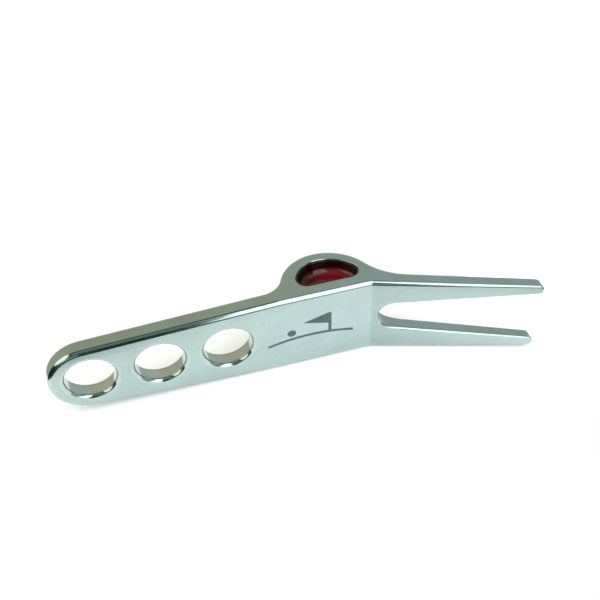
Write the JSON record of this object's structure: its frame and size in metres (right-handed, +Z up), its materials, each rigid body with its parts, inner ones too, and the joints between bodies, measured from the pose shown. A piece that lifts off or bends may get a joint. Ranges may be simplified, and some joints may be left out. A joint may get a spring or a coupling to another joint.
{
  "type": "divot repair tool",
  "caption": "Milled metal divot repair tool: flat handle with round holes, D-shaped pivot hump with an enamelled recess in each edge, and a bent fork with tapered prongs.",
  "frame": {"origin": "centre of the object's box at its base, with the tool standing on its long edge", "axes": "+X along the handle towards the prong tips, +Y out of the flat side towards the pivot hump, +Z up across the tool's width"},
  "size_m": [0.0924, 0.0212, 0.0179],
  "materials": {
    "satin_aluminium": "bead-blasted satin faces with polished edge fillets",
    "red_enamel": "clear glossy candy red enamel",
    "grey_fill": "matt dark grey paint fill",
    "pale_fill": "matt pale grey paint fill"
  },
  "bodies": {
    "root": {"tool_body": "satin_aluminium", "upper_recess_enamel": "red_enamel", "lower_recess_enamel": "red_enamel", "flag_fill": "grey_fill", "ball_fill": "grey_fill", "crest_bar_1": "pale_fill", "crest_bar_2": "pale_fill", "crest_bar_3": "pale_fill"}
  },
  "joints": []
}
